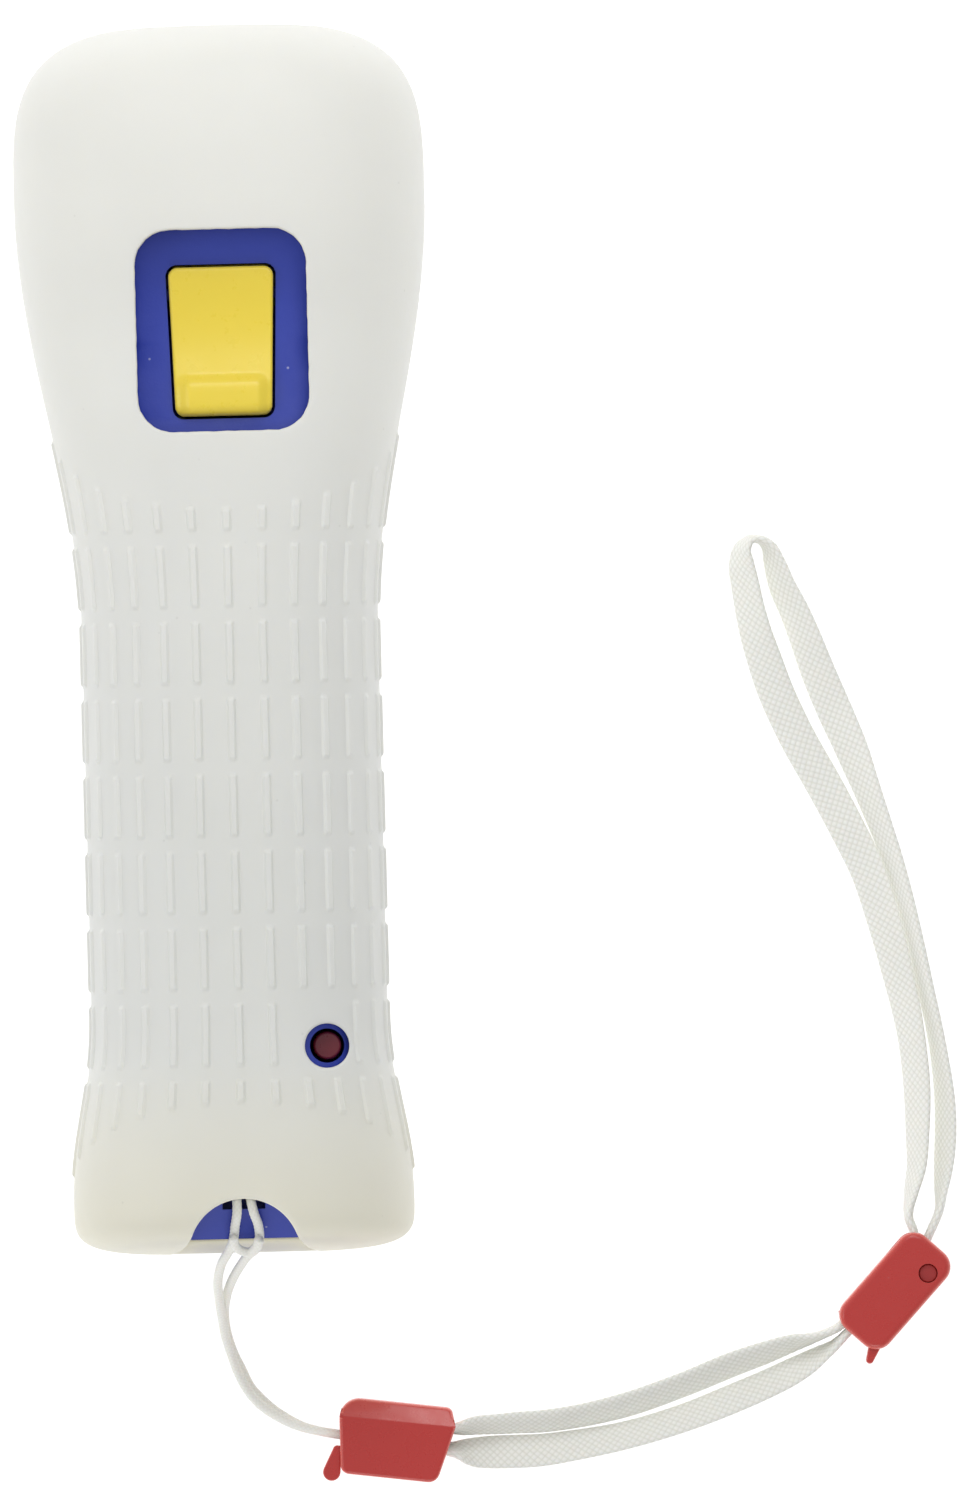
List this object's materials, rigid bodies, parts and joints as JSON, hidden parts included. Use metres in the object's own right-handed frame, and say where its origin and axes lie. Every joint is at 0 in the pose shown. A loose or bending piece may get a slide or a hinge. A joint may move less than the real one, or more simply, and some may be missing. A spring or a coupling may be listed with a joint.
{
  "type": "motion controller wand",
  "caption": "Handheld motion controller in a ribbed soft grip jacket, with trigger, face buttons, tail port and a wrist lace held by a red clip and a sliding lock.",
  "frame": {"origin": "centre of the underside of the jacketed controller, on the surface it lies on, face down", "axes": "+Z out of the back, +Y towards the head, +X to the right seen from the back"},
  "size_m": [0.1206, 0.1919, 0.039],
  "materials": {
    "silicone": "matte",
    "front_plastic": "satin",
    "back_plastic": "satin",
    "trigger_plastic": "satin",
    "red_plastic": "gloss",
    "white_button": "gloss",
    "red_button": "gloss",
    "blue_button": "gloss",
    "dark_rubber": "matte",
    "clear_plastic": "gloss",
    "dark_window": "gloss",
    "board": "satin",
    "black_plastic": "matte",
    "steel": "satin",
    "weight_metal": "satin",
    "cell_sleeve": "gloss",
    "cord_fabric": "matte"
  },
  "bodies": {
    "controller": {"grip_jacket": "silicone", "front_shell": "front_plastic", "rear_shell": "back_plastic", "battery_cover": "back_plastic", "trigger_pin": "steel", "trigger_spring": "steel", "trigger_switch": "black_plastic", "button_domes": "dark_rubber", "light_guides": "clear_plastic", "main_board": "board", "sensor_window": "dark_window", "sensor_camera": "black_plastic", "speaker": "black_plastic", "rumble_motor": "steel", "motor_mount": "dark_rubber", "battery_cells": "cell_sleeve", "battery_springs": "steel", "battery_contacts": "steel", "accessory_port": "black_plastic", "case_screws": "steel", "strap_bar": "steel", "cord_left": "cord_fabric", "cord_right": "cord_fabric", "cord_hitch": "cord_fabric", "clip_case": "red_plastic", "clip_pin": "red_plastic", "lace": "cord_fabric"},
    "trigger": {"trigger": "trigger_plastic"},
    "sync_button": {"sync_button": "red_button"},
    "power_button": {"power_button": "red_button"},
    "pad_stem": {"pad_stem": "dark_rubber"},
    "direction_pad": {"direction_pad": "white_button"},
    "main_button": {"main_button": "white_button"},
    "minus_button": {"minus_button": "white_button"},
    "home_button": {"home_button": "blue_button"},
    "plus_button": {"plus_button": "white_button"},
    "one_button": {"one_button": "white_button"},
    "two_button": {"two_button": "white_button"},
    "rumble_weight": {"rumble_weight": "weight_metal"},
    "clip_lever": {"clip_lever": "red_plastic"},
    "lock": {"lock_case": "red_plastic", "lock_pin": "red_plastic"},
    "lock_lever": {"lock_lever": "red_plastic"}
  },
  "joints": [
    {"name": "trigger_pull", "type": "hinge", "parent": "controller", "child": "trigger", "pos_m": [0, 0.0469, 0.0274], "axis": [1, 0, 0], "range_deg": [0, 7], "stiffness_Nm_per_rad": 0.35, "deforming": ["trigger_spring"]},
    {"name": "sync_press", "type": "slide", "parent": "controller", "child": "sync_button", "axis": [0, 0, -1], "range_m": [0, 0.0006], "stiffness_N_per_m": 500},
    {"name": "power_press", "type": "slide", "parent": "controller", "child": "power_button", "axis": [0, 0, 1], "range_m": [0, 0.0007], "stiffness_N_per_m": 350},
    {"name": "pad_tilt_up_down", "type": "hinge", "parent": "controller", "child": "pad_stem", "pos_m": [0, 0.044, 0.0076], "axis": [1, 0, 0], "range_deg": [-3.5, 3.5], "stiffness_Nm_per_rad": 0.06},
    {"name": "pad_tilt_sideways", "type": "hinge", "parent": "pad_stem", "child": "direction_pad", "pos_m": [0, 0.044, 0.0076], "axis": [0, 1, 0], "range_deg": [-3.5, 3.5], "stiffness_Nm_per_rad": 0.06},
    {"name": "main_press", "type": "slide", "parent": "controller", "child": "main_button", "axis": [0, 0, 1], "range_m": [0, 0.0007], "stiffness_N_per_m": 350},
    {"name": "minus_press", "type": "slide", "parent": "controller", "child": "minus_button", "axis": [0, 0, 1], "range_m": [0, 0.0007], "stiffness_N_per_m": 350},
    {"name": "home_press", "type": "slide", "parent": "controller", "child": "home_button", "axis": [0, 0, 1], "range_m": [0, 0.0007], "stiffness_N_per_m": 350},
    {"name": "plus_press", "type": "slide", "parent": "controller", "child": "plus_button", "axis": [0, 0, 1], "range_m": [0, 0.0007], "stiffness_N_per_m": 350},
    {"name": "one_press", "type": "slide", "parent": "controller", "child": "one_button", "axis": [0, 0, 1], "range_m": [0, 0.0007], "stiffness_N_per_m": 350},
    {"name": "two_press", "type": "slide", "parent": "controller", "child": "two_button", "axis": [0, 0, 1], "range_m": [0, 0.0007], "stiffness_N_per_m": 350},
    {"name": "rumble_spin", "type": "hinge", "parent": "controller", "child": "rumble_weight", "pos_m": [0, 0.0169, 0.01545], "axis": [1, 0, 0], "continuous": true},
    {"name": "clip_open", "type": "hinge", "parent": "controller", "child": "clip_lever", "pos_m": [0.02275, -0.10941, 0.0037], "axis": [0, 0, 1], "range_deg": [0, 60]},
    {"name": "lock_slide", "type": "slide", "parent": "controller", "child": "lock", "axis": [0.6769, 0.7361, 0], "range_m": [0, 0.0025]},
    {"name": "lock_open", "type": "hinge", "parent": "lock", "child": "lock_lever", "pos_m": [0.0894, -0.0855, 0.0037], "axis": [0, 0, 1], "range_deg": [0, 65]}
  ]
}
